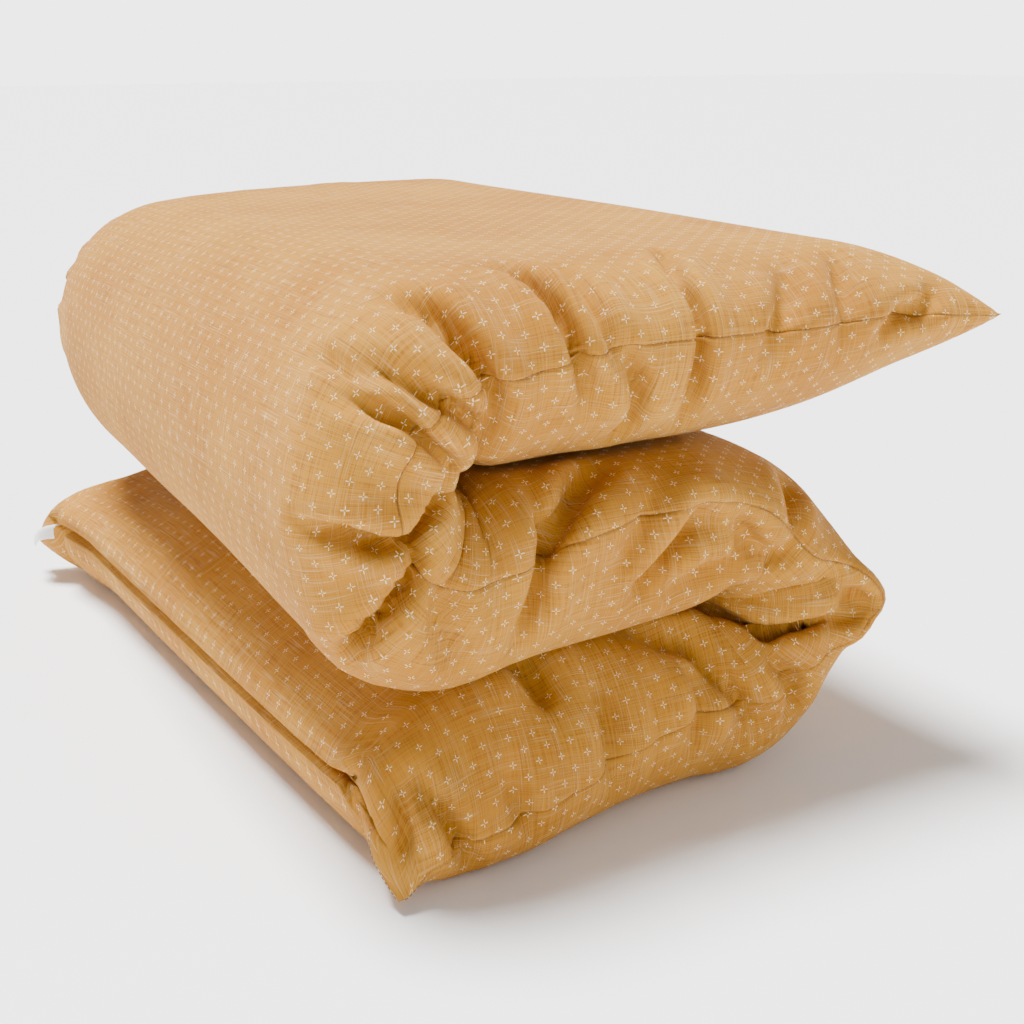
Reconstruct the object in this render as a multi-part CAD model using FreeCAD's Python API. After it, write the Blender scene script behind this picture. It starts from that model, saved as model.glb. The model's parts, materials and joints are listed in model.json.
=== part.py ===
"""Padded floor mattress in a removable cover, stored folded in three as an S.

The mattress is described flat, as a row of sections along its length, and each section is then
placed where the fold carries it.  A section has its own frame: u runs along the mattress from the
foot end, y across it, and w up through its thickness, with the perimeter seam at w = 0.
The row frame has its origin on the floor under the middle of the folded bundle.
"""
import FreeCAD, Part
import math
import os

os.makedirs("parts", exist_ok=True)
Vec = FreeCAD.Vector

# Folded bundle
FOLDED_LENGTH = 470.0       # from the left roll to the free head edge
LAYER_PITCH = 115.0         # height that each folded layer takes up
LAYER_GAP = 0.6             # air left between two layers
FOOT_SETBACK = 36.0         # the left roll overhangs the foot edge by this much
HEAD_OVERHANG = 70.0        # the head edge reaches past the right roll by this much
FINISHED_WIDTH = 690.0      # from long seam to long seam, filled

# Section shape
SIDE_CROWN = 70.0           # width over which a long edge rounds down to its seam
FOOT_TAPER = 75.0           # length over which the foot end rounds down to its seam
HEAD_TAPER = 140.0          # the head end is emptier, and thins over a longer stretch
TAPER_LIFT = 1.2            # an end's outline would level off this far above and below the layer
CREASE_RADIUS = 12.0        # the cover's small loop inside each fold

# Fold: four hinge lines share the half turn, with three short sections between them
HINGES_PER_FOLD = 4
HINGE_ANGLE = 180.0 / HINGES_PER_FOLD
HINGE_CLEARANCE = 0.2

# Skins, measured inwards from the outside of the cover
COVER_THICK = 1.0
TICKING_THICK = 0.8
SKIN_GAP = 0.3

# Concealed zip in a recess along the foot seam
ZIP_LENGTH = 540.0          # between the two end stops
RECESS_HEIGHT = 14.0
RECESS_DEPTH = 12.0
RECESS_RUN_OUT = 22.0       # recess beyond each end stop
ZIP_SLOT_HEIGHT = 6.0
TAPE_THICK = 0.6
TAPE_HEIGHT = 5.5
COIL_THICK = 1.8
COIL_HEIGHT = 2.1
COIL_GAP = 0.3
STOP_LENGTH = 3.0
ZIP_FIT = 0.4               # slider to coil and slider to tape
SLIDER_LENGTH = 11.0
SLIDER_PLATE = 1.6
SLIDER_WALL = 1.8
EAR_THICK = 0.8
PULL_PIN_RADIUS = 0.7
PULL_EYE_CLEARANCE = 0.3
PULL_EYE_WALL = 0.9
PULL_WIDTH = 3.4
PULL_LENGTH = 24.0
PULL_THICK = 1.4

# Sewn-in side label, a folded tape held in the foot seam near the back corner
LABEL_LENGTH = 26.0
LABEL_STAND_OUT = 10.0
LABEL_THICK = 1.2
LABEL_FROM_CORNER = 24.0

# Derived sizes
HALF_PITCH = LAYER_PITCH / 2
HALF_THICK = (LAYER_PITCH - LAYER_GAP) / 2
HALF_WIDTH = FINISHED_WIDTH / 2
ROLL_RADIUS = HALF_PITCH + HALF_THICK
WEDGE_SLOPE = math.tan(math.radians(HINGE_ANGLE / 2))
BEND_LENGTH = 2 * HALF_PITCH * WEDGE_SLOPE
BENDS_PER_FOLD = HINGES_PER_FOLD - 1
INNER_HALF_THICK = HALF_PITCH - CREASE_RADIUS
X_LEFT = -FOLDED_LENGTH / 2
X_HEAD = FOLDED_LENGTH / 2
X_FOOT = X_LEFT + FOOT_SETBACK
X_RIGHT_FOLD = X_HEAD - HEAD_OVERHANG - ROLL_RADIUS
X_LEFT_FOLD = X_LEFT + ROLL_RADIUS
REACH = 2 * FINISHED_WIDTH  # longer than any cut needs
MARGIN = 1.0                # how far a cutting shape stands past what it cuts


def polygon_prism(points, y_from, y_to):
    """A prism across the mattress from an outline in the u-w plane."""
    corners = [Vec(u, y_from, w) for u, w in points]
    wire = Part.makePolygon(corners + corners[:1])
    return Part.Face(wire).extrude(Vec(0, y_to - y_from, 0))


def box(u_range, y_range, w_range):
    """A block between two limits in each direction."""
    size = [high - low for low, high in (u_range, y_range, w_range)]
    return Part.makeBox(*size, Vec(u_range[0], y_range[0], w_range[0]))


def rounded_edge(run, rise):
    """Three points of the arc that leaves the seam at (0, 0) and is level at (run, rise)."""
    radius = (run * run + rise * rise) / (2 * abs(rise))
    sign = math.copysign(1, rise)
    start = math.atan2(radius - abs(rise), run)
    middle = (start + math.pi / 2) / 2
    mid_run = run - radius * math.cos(middle)
    mid_rise = sign * (abs(rise) - radius + radius * math.sin(middle))
    return (0, 0), (mid_run, mid_rise), (run, rise)


def arc(points, place):
    """A circular edge through three outline points, mapped into space by place."""
    first, middle, last = (place(*point) for point in points)
    return Part.Arc(first, middle, last).toShape()


def cushion(length, up, down, foot_taper, head_taper, inset):
    """A filled section: round long edges, and a rounded foot or head where it is a free end."""
    half_width = HALF_WIDTH - inset
    flat = half_width - SIDE_CROWN
    rise, drop = up - inset, -(down - inset)
    right = lambda run, w: Vec(0, half_width - run, w)
    left = lambda run, w: Vec(0, run - half_width, w)
    edges = []
    for height in (rise, drop):
        edges.append(arc(rounded_edge(SIDE_CROWN, height), right))
        edges.append(Part.makeLine(Vec(0, flat, height), Vec(0, -flat, height)))
        edges.append(arc(rounded_edge(SIDE_CROWN, height), left))
    outline = Part.Wire(Part.__sortEdges__(edges))
    body = Part.Face(outline).extrude(Vec(length, 0, 0))
    if foot_taper:
        body = body.common(tapered_end(length, rise, drop, foot_taper, inset, False))
    if head_taper:
        body = body.common(tapered_end(length, rise, drop, head_taper, inset, True))
    return body


def tapered_end(length, rise, drop, taper, inset, at_head):
    """The side outline of a section whose foot or head end rounds down to its seam."""
    def place(run, w):
        u = length - inset - run if at_head else inset + run
        return Vec(u, -HALF_WIDTH, w)

    far = length + MARGIN
    rise, drop = rise + TAPER_LIFT, drop - TAPER_LIFT
    edges = [arc(rounded_edge(taper, rise), place), arc(rounded_edge(taper, drop), place)]
    corners = [place(taper, rise), place(far, rise), place(far, drop), place(taper, drop)]
    edges += [Part.makeLine(a, b) for a, b in zip(corners, corners[1:])]
    outline = Part.Wire(Part.__sortEdges__(edges))
    return Part.Face(outline).extrude(Vec(0, FINISHED_WIDTH, 0))


def fold_envelope(section):
    """What a section keeps: square to the seam outside a fold, and a wedge inside it."""
    length = section["length"]
    top = section["up"] + MARGIN
    bottom = section["down"] + MARGIN
    start, end = section["start_fold"], section["end_fold"]
    u_start = HINGE_CLEARANCE if start else -MARGIN
    u_end = length - HINGE_CLEARANCE if end else length + MARGIN
    points = [
        (u_start + (bottom * WEDGE_SLOPE if start == "down" else 0), -bottom),
        (u_start, 0),
        (u_start + (top * WEDGE_SLOPE if start == "up" else 0), top),
        (u_end - (top * WEDGE_SLOPE if end == "up" else 0), top),
        (u_end, 0),
        (u_end - (bottom * WEDGE_SLOPE if end == "down" else 0), -bottom),
    ]
    return polygon_prism(points, -REACH, REACH)


def filled(section, inset):
    """A section's solid form at a given depth inside the cover, with the zip recess."""
    body = cushion(section["length"], section["up"], section["down"],
                   section["foot_taper"], section["head_taper"], inset)
    if section["foot_taper"]:
        run = ZIP_LENGTH / 2 + RECESS_RUN_OUT + inset
        height = RECESS_HEIGHT / 2 + inset
        body = body.cut(box((-MARGIN, RECESS_DEPTH + inset), (-run, run), (-height, height)))
    return body


def upper_half(thickness):
    """The space above the seam plane."""
    return box((-REACH, REACH), (-REACH, REACH), (0, thickness))


def lower_half(thickness):
    """The space below the seam plane."""
    return box((-REACH, REACH), (-REACH, REACH), (-thickness, 0))


def textile_layers(section):
    """The cover's two panels, the ticking case and the batting of one section."""
    envelope = fold_envelope(section)
    ticking_at = COVER_THICK + SKIN_GAP
    batting_at = ticking_at + TICKING_THICK + SKIN_GAP
    cover = filled(section, 0).cut(filled(section, COVER_THICK)).common(envelope)
    if section["foot_taper"]:
        slot = ZIP_SLOT_HEIGHT / 2
        cover = cover.cut(box((RECESS_DEPTH - MARGIN, RECESS_DEPTH + COVER_THICK + SKIN_GAP / 2),
                              (-ZIP_LENGTH / 2, ZIP_LENGTH / 2), (-slot, slot)))
    ticking = filled(section, ticking_at).cut(filled(section, ticking_at + TICKING_THICK))
    return {
        "cover_upper": cover.common(upper_half(LAYER_PITCH)),
        "cover_lower": cover.common(lower_half(LAYER_PITCH)),
        "ticking": ticking.common(envelope),
        "batting": filled(section, batting_at).common(envelope),
    }


def zip_chain():
    """The tapes, coils and end stops, fixed across the recess's back wall."""
    half = ZIP_LENGTH / 2
    tape_back = RECESS_DEPTH - SKIN_GAP / 2
    tape_front = tape_back - TAPE_THICK
    coil_back = tape_front - SKIN_GAP / 2
    coil_front = coil_back - COIL_THICK
    coil_low = COIL_GAP / 2
    coil_high = coil_low + COIL_HEIGHT
    run = (-half, half)
    pieces = {}
    for name, side in (("upper", 1), ("lower", -1)):
        tape = sorted((side * COIL_HEIGHT / 2, side * (COIL_HEIGHT / 2 + TAPE_HEIGHT)))
        coil = sorted((side * coil_low, side * coil_high))
        pieces["zip_tape_" + name] = box((tape_front, tape_back), run, tape)
        pieces["zip_coil_" + name] = box((coil_front, coil_back), run, coil)
    for name, side in (("top", 1), ("bottom", -1)):
        ends = sorted((side * (half + SKIN_GAP), side * (half + SKIN_GAP + STOP_LENGTH)))
        pieces["zip_%s_stop" % name] = box((coil_front, coil_back), ends, (-coil_high, coil_high))
    return pieces, coil_front, tape_front, coil_high


def zip_slider(coil_front, tape_front, coil_high):
    """The slider, its pin between two ears, and the pull whose eye turns on that pin."""
    centre_y = ZIP_LENGTH / 2 - SLIDER_LENGTH / 2
    run = (centre_y - SLIDER_LENGTH / 2, centre_y + SLIDER_LENGTH / 2)
    plate_back = coil_front - ZIP_FIT
    plate_front = plate_back - SLIDER_PLATE
    wall_inside = coil_high + ZIP_FIT
    wall_outside = wall_inside + SLIDER_WALL
    slider = box((plate_front, plate_back), run, (-wall_outside, wall_outside))
    for side in (1, -1):
        wall = sorted((side * wall_inside, side * wall_outside))
        slider = slider.fuse(box((plate_back, tape_front - ZIP_FIT), run, wall))
    eye_radius = PULL_PIN_RADIUS + PULL_EYE_CLEARANCE + PULL_EYE_WALL
    pin_u = plate_front - PULL_EYE_CLEARANCE - eye_radius
    ear_low = PULL_WIDTH / 2 + PULL_EYE_CLEARANCE
    ear_high = ear_low + EAR_THICK
    ear_y = (centre_y - eye_radius, centre_y + eye_radius)
    for side in (1, -1):
        ear = sorted((side * ear_low, side * ear_high))
        slider = slider.fuse(box((pin_u - PULL_PIN_RADIUS, plate_front), ear_y, ear))
    pin = Part.makeCylinder(PULL_PIN_RADIUS, 2 * ear_high, Vec(pin_u, centre_y, -ear_high))
    slider = slider.fuse(pin).removeSplitter()
    half_pull = PULL_WIDTH / 2
    base = Vec(pin_u, centre_y, -half_pull)
    eye = Part.makeCylinder(eye_radius, PULL_WIDTH, base)
    tab = box((pin_u - PULL_THICK / 2, pin_u + PULL_THICK / 2),
              (centre_y - PULL_LENGTH, centre_y - PULL_PIN_RADIUS), (-half_pull, half_pull))
    hole = Part.makeCylinder(PULL_PIN_RADIUS + PULL_EYE_CLEARANCE, PULL_WIDTH, base)
    pull = eye.fuse(tab).cut(hole).removeSplitter()
    print("pull pin at u %.3f y %.3f" % (pin_u, centre_y))
    return {"zip_slider": slider, "zip_pull": pull}


def side_label():
    """The folded label, standing out of the foot seam near the back corner."""
    y_end = HALF_WIDTH - LABEL_FROM_CORNER
    return box((-LABEL_STAND_OUT - SKIN_GAP, -SKIN_GAP), (y_end - LABEL_LENGTH, y_end),
               (-LABEL_THICK / 2, LABEL_THICK / 2))


def slab(name, length, start_fold, end_fold, foot_taper, head_taper):
    """One of the three flat layers."""
    return {"name": name, "length": length, "up": HALF_THICK, "down": HALF_THICK,
            "start_fold": start_fold, "end_fold": end_fold,
            "foot_taper": foot_taper, "head_taper": head_taper}


def bends(side, inner):
    """The short sections of one fold, thinner on the side that ends up inside it."""
    half = {"up": HALF_THICK, "down": HALF_THICK}
    half[inner] = INNER_HALF_THICK
    return [{"name": "%s_bend_%d" % (side, number + 1), "length": BEND_LENGTH,
             "up": half["up"], "down": half["down"], "start_fold": inner, "end_fold": inner,
             "foot_taper": 0, "head_taper": 0} for number in range(BENDS_PER_FOLD)]


def mattress_sections():
    """All sections in order from the foot end, each with its direction of turn into the next."""
    half_bend = BEND_LENGTH / 2
    foot_length = X_RIGHT_FOLD + half_bend - X_FOOT
    middle_length = X_RIGHT_FOLD - X_LEFT_FOLD + BEND_LENGTH
    head_length = X_HEAD - X_LEFT_FOLD + half_bend
    foot = slab("foot", foot_length, None, "up", FOOT_TAPER, 0)
    middle = slab("middle", middle_length, "up", "down", 0, 0)
    head = slab("head", head_length, "down", None, 0, HEAD_TAPER)
    return [foot] + bends("right", "up") + [middle] + bends("left", "down") + [head]


def save(shape, name, placement):
    """Write one node's solids in their folded place."""
    solids = shape.Solids
    placed = solids[0] if len(solids) == 1 else Part.makeCompound(solids)
    placed = placed.copy()
    placed.Placement = placement.multiply(placed.Placement)
    if not placed.isValid():
        raise ValueError(name + " is not a valid solid")
    placed.exportStep("parts/%s.step" % name)
    print("%-30s solids %d volume %.0f" % (name, len(solids), placed.Volume))


def main():
    """Fold the row of sections up, and write every piece."""
    corner = Vec(X_FOOT, 0, HALF_THICK)
    turn = 0.0
    for section in mattress_sections():
        placement = FreeCAD.Placement(corner, FreeCAD.Rotation(Vec(0, -1, 0), turn))
        for layer, shape in textile_layers(section).items():
            save(shape, layer + "_" + section["name"], placement)
        if section["foot_taper"]:
            pieces, coil_front, tape_front, coil_high = zip_chain()
            pieces.update(zip_slider(coil_front, tape_front, coil_high))
            pieces["side_label"] = side_label()
            for name, shape in pieces.items():
                save(shape, name, placement)
        corner = placement.multVec(Vec(section["length"], 0, 0))
        if section["end_fold"]:
            turn += HINGE_ANGLE if section["end_fold"] == "up" else -HINGE_ANGLE
            print("hinge after %s at x %.4f z %.4f" % (section["name"], corner.x, corner.z))
    flat_length = sum(section["length"] for section in mattress_sections())
    print("flat length %.1f" % flat_length)


main()
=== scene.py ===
"""Looks for the folded futon mattress: cover cloth, seam, zip, label, lights and camera."""
import json
import math

import bpy
import numpy as np
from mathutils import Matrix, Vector


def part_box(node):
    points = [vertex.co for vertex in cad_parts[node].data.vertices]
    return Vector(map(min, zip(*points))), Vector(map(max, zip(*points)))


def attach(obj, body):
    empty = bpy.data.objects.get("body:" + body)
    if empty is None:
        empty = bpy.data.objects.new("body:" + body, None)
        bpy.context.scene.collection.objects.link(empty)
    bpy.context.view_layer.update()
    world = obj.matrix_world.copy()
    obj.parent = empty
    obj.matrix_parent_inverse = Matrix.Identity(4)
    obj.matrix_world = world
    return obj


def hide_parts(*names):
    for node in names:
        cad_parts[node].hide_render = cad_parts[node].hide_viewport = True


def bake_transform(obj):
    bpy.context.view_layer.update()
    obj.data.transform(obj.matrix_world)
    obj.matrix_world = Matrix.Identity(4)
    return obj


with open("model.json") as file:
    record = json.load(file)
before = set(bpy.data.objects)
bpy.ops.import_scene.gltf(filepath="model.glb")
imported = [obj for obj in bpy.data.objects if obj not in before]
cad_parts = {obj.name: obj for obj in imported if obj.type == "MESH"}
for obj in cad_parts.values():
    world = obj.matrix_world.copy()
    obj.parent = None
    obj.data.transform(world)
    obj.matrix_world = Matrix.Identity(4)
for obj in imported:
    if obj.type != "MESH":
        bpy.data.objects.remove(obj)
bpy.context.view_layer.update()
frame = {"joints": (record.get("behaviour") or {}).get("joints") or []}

JOINTS = {joint["name"]: joint for joint in frame["joints"]}


def hinge(name):
    """A hinge line's place in the x-z plane, as the model states it."""
    x, _, z = JOINTS[name]["pos_m"]
    return x, z


# The S that the mattress's middle follows, read from the model
R = (hinge("right_fold_hinge_4")[1] - hinge("unfold")[1]) / 2
RIGHT = (hinge("right_fold_hinge_2")[0] - R, hinge("unfold")[1] + R)
LEFT = (hinge("left_fold_hinge_2")[0] + R, hinge("left_fold_hinge_1")[1] + R)
FOOT_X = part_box("cover_lower_foot")[0].x
HEAD_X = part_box("cover_upper_head")[1].x
HALF_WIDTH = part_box("cover_upper_head")[1].y
HALF = hinge("unfold")[1]
ARC = math.pi * R
T_RIGHT = RIGHT[0] - FOOT_X
T_MIDDLE = T_RIGHT + ARC
T_LEFT = T_MIDDLE + RIGHT[0] - LEFT[0]
T_HEAD = T_LEFT + ARC
T_END = T_HEAD + HEAD_X - LEFT[0]
CUT_WIDTH = 0.70

# Grid of cloth points: steps along the mattress, flat and in a fold, and the number of steps across
STEP = 0.0042
FOLD_STEP = 0.0031
ACROSS = 168
UPPER, LOWER = 1, -1
SIDES = (UPPER, LOWER)

# Zip opening in the foot seam: the cloth turns in over lips to the zip's tapes
ZIP_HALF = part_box("zip_top_stop")[1].y
TAPE_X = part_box("zip_tape_upper")[0].x
LIP_HEIGHT = 0.0062
LIP_RUN = 0.0126
LIP_OVERHANG = 0.005
LIP_BACK = 0.030

# Past each end of the zip the lips sink back over LIP_END, and the panels are joined after CLOSED_AFTER.
# Both were found by trial, so that the cover clears the slider and the pull.
LIP_END = 0.020
CLOSED_AFTER = 0.018

# The bodies along the mattress, from the foot to the head; the cover has a strip from each one to the next
STRIP_BODIES = ["foot_layer", "right_bend_1", "right_bend_2", "right_bend_3", "middle_layer",
                "left_bend_1", "left_bend_2", "left_bend_3", "head_layer"]
STRIPS = len(STRIP_BODIES) - 1


def smooth(value, low, high):
    """0 below low, 1 above high, and a smooth ramp between."""
    t = np.clip((value - low) / (high - low), 0, 1)
    return t * t * (3 - 2 * t)


def through(points, t):
    """A smooth curve through given (position, value) points."""
    place, value = (np.array(column, float) for column in zip(*points))
    slope = np.gradient(value, place)
    k = np.clip(np.searchsorted(place, t) - 1, 0, len(place) - 2)
    width = place[k + 1] - place[k]
    s = np.clip((t - place[k]) / width, 0, 1)
    return (value[k] * (1 + 2 * s) * (1 - s) ** 2 + value[k + 1] * s * s * (3 - 2 * s)
            + slope[k] * width * s * (1 - s) ** 2 - slope[k + 1] * width * s * s * (1 - s))


def bump(value, centre, width):
    """A rounded rise of height 1 at centre."""
    return np.exp(-(((value - centre) / width) ** 2))


def row_positions():
    """Positions along the mattress, with a row exactly on every line where two strips meet."""
    knots = [0, T_RIGHT]
    knots += [T_RIGHT + ARC * share for share in (0.25, 0.5, 0.75, 1)]
    knots += [(T_MIDDLE + T_LEFT) / 2, T_LEFT]
    knots += [T_LEFT + ARC * share for share in (0.25, 0.5, 0.75, 1)]
    knots += [T_END]
    rows = [0.0]
    joins = []
    for start, end in zip(knots, knots[1:]):
        middle = (start + end) / 2
        folding = T_RIGHT < middle < T_MIDDLE or T_LEFT < middle < T_HEAD
        count = max(2, round((end - start) / (FOLD_STEP if folding else STEP)))
        rows += list(np.linspace(start, end, count + 1)[1:])
        joins.append(len(rows) - 1)
    return np.array(rows), joins


def spine(t):
    """Middle line of the folded mattress: position and direction angle at each t."""
    x, z, angle = np.empty_like(t), np.empty_like(t), np.empty_like(t)
    foot = t <= T_RIGHT
    x[foot], z[foot], angle[foot] = FOOT_X + t[foot], HALF, 0
    bend = (t > T_RIGHT) & (t < T_MIDDLE)
    turn = (t[bend] - T_RIGHT) / R
    x[bend], z[bend], angle[bend] = RIGHT[0] + R * np.sin(turn), RIGHT[1] - R * np.cos(turn), turn
    mid = (t >= T_MIDDLE) & (t <= T_LEFT)
    x[mid], z[mid], angle[mid] = RIGHT[0] - (t[mid] - T_MIDDLE), HALF + 2 * R, math.pi
    bend = (t > T_LEFT) & (t < T_HEAD)
    turn = (t[bend] - T_LEFT) / R
    x[bend], z[bend] = LEFT[0] - R * np.sin(turn), LEFT[1] - R * np.cos(turn)
    angle[bend] = math.pi - turn
    head = t >= T_HEAD
    x[head], z[head], angle[head] = LEFT[0] + t[head] - T_HEAD, HALF + 4 * R, 0
    return x, z, angle


T, JOINS = row_positions()
X_MID, Z_MID, ANGLE = spine(T)


def in_fold(t, start, run=0.02):
    """1 inside the fold that starts at start, easing to 0 over run at each side."""
    return smooth(t, start - run, start + run) * (1 - smooth(t, start + ARC - run, start + ARC + run))


def edge_rise(distance, taper, power=2.3, lift=0.6):
    """Thickness share near a sewn edge: 0 at the seam, steep at first, 1 past the taper."""
    share = np.clip(distance / taper, 0, 1)
    return (1 - (1 - share) ** power) ** lift


def right_at(share):
    """The place along the mattress at a share of the right fold."""
    return T_RIGHT + ARC * share


def left_at(share):
    """The place along the mattress at a share of the left fold."""
    return T_LEFT + ARC * share


# How far the seam sits from the middle line, towards the upper panel, along each long side
FRONT_SEAM = (
    (0, -0.049), (0.014, -0.036), (0.045, -0.027), (0.11, -0.018), (0.17, -0.004), (T_RIGHT, 0.006),
    (right_at(0.14), -0.002), (right_at(0.32), -0.008), (right_at(0.43), -0.034), (right_at(0.5), -0.050),
    (right_at(0.57), -0.036), (right_at(0.68), -0.012), (right_at(0.85), -0.012),
    (T_MIDDLE, -0.024), (T_MIDDLE + 0.07, -0.030), (T_MIDDLE + 0.12, -0.022), (T_LEFT, -0.010),
    (left_at(0.25), 0.006), (left_at(0.5), 0.010), (left_at(0.75), 0.008), (T_HEAD, 0.006),
    (T_HEAD + 0.06, 0.014), (T_HEAD + 0.22, 0.014), (T_END - 0.06, 0.016), (T_END, 0.010))
BACK_SEAM = (
    (0, -0.028), (0.02, -0.020), (0.07, -0.012), (0.14, -0.006), (T_RIGHT, 0.004),
    (right_at(0.2), -0.004), (right_at(0.36), -0.010), (right_at(0.46), -0.036), (right_at(0.52), -0.044),
    (right_at(0.6), -0.030), (right_at(0.74), -0.010), (T_MIDDLE, -0.014),
    (T_MIDDLE + 0.08, -0.018), (T_LEFT, -0.006), (left_at(0.3), 0.008), (left_at(0.55), 0.010),
    (T_HEAD, 0.006), (T_HEAD + 0.1, 0.012), (T_END - 0.08, 0.010), (T_END, 0.000))

# Width over which each panel rounds down to its long seam, at the front (-1) and at the back (1)
CROWN = {
    (UPPER, -1): ((0, 0.060), (0.10, 0.080), (T_RIGHT, 0.078), (right_at(0.5), 0.090), (T_MIDDLE, 0.066),
                  (T_MIDDLE + 0.07, 0.046), (T_LEFT, 0.036), (left_at(0.25), 0.034),
                  (left_at(0.6), 0.046), (T_HEAD, 0.074), (T_HEAD + 0.15, 0.084), (T_END, 0.066)),
    (LOWER, -1): ((0, 0.030), (0.06, 0.026), (0.13, 0.040), (T_RIGHT, 0.050), (right_at(0.3), 0.052),
                  (right_at(0.6), 0.075), (right_at(0.85), 0.095), (T_MIDDLE + 0.05, 0.078),
                  (T_LEFT, 0.070), (T_HEAD, 0.070), (T_END, 0.070)),
    (UPPER, 1): ((0, 0.070), (T_RIGHT, 0.080), (T_MIDDLE, 0.080), (T_LEFT, 0.110), (left_at(0.5), 0.165),
                 (T_HEAD, 0.120), (T_HEAD + 0.12, 0.075), (T_END, 0.075)),
    (LOWER, 1): ((0, 0.050), (T_RIGHT, 0.060), (right_at(0.5), 0.075), (T_MIDDLE, 0.080), (T_END, 0.075)),
}

# Each end's seam line above the middle line: at the front corner, between the corners, at the back one
FOOT_LINE = (-0.049, 0.0, -0.028)
HEAD_LINE = (0.012, 0.010, 0.008)


# Clearance of the flat layers, radius left open inside a fold, and how far the right fold hangs
LAYER_CLEARANCE = 0.0004
INSIDE_RADIUS = 0.0086
FOLD_SAG = 0.007


def thickness(side):
    """Half thickness of one panel along the mattress's middle, from the spine line."""
    right = in_fold(T, T_RIGHT)
    left = in_fold(T, T_LEFT)
    inner = right if side == UPPER else left
    sag = np.sin((T - right_at(0.5)) / R) * right if side == LOWER else 0
    base = np.full_like(T, HALF - LAYER_CLEARANCE)
    return base * (1 - inner) + (R - INSIDE_RADIUS) * inner - FOLD_SAG * sag


# Length over which each panel rises to its full thickness, from the foot seam and from the head seam
END_TAPER = {UPPER: (0.085, 0.105), LOWER: (0.048, 0.215)}


def end_rise(side, t):
    """Share of the full thickness along the mattress: 0 at the foot and head seams."""
    foot, head = END_TAPER[side]
    return edge_rise(t, foot) * edge_rise(T_END - t, head)


# The long seams stand in from the full width, and are pulled further in between the corners
SEAM_INSET = 0.003
SIDE_PULL = 0.018
FOOT_EASE = 0.014


def half_width():
    """Seam line's distance from the middle: pulled in between the pointed corners."""
    corner = np.exp(-T / 0.032) + np.exp(-(T_END - T) / 0.036)
    nose = bump(T, right_at(0.5), 0.012)
    pull = SIDE_PULL - FOOT_EASE * bump(T, 0.08, 0.07)
    pull = pull * (1 - np.clip(corner, 0, 1)) * (1 - 0.4 * nose)
    return HALF_WIDTH - SEAM_INSET - pull


def cross_section(half, crown, top, lift, columns):
    """From the middle line to one long seam, at even cloth steps: distance across, and height."""
    fine = np.linspace(0, math.pi / 2, 60)
    edge = half - crown * (1 - np.sin(fine))
    across = np.concatenate([[0], edge])
    share = np.clip((across - half + crown) / crown, 0, 1)
    full = (1 - share ** 2.4) ** 0.58
    height = top * (1 - 0.02 * (across / half) ** 2) * full + lift * (1 - full)
    run = np.concatenate([[0], np.cumsum(np.hypot(np.diff(across), np.diff(height)))])
    steps = np.linspace(0, run[-1], columns + 1)
    return np.interp(steps, run, across), np.interp(steps, run, height)


def end_line(y, front, middle, back):
    """Height of an end's seam line from the spine: level in the middle, falling at the corners."""
    corner = smooth(np.abs(y) / HALF_WIDTH, 0.82, 1.0) ** 1.3
    return middle + (np.where(y < 0, front, back) - middle) * corner


# The upper panel's dips and swells, then how far the foot seam bows out, slants and reaches out at its
# back corner, and how far the head seam bows in
HEAD_BACK_DIP = 0.002
FOOT_BACK_DIP = 0.018
ROLL_BACK_DIP = 0.014
ROLL_FRONT_SWELL = 0.016
FOOT_BOW = 0.006
FOOT_SLANT = 0.007
FOOT_BACK_REACH = 0.020
HEAD_BOW = 0.014
END_RUN = 0.12


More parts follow.
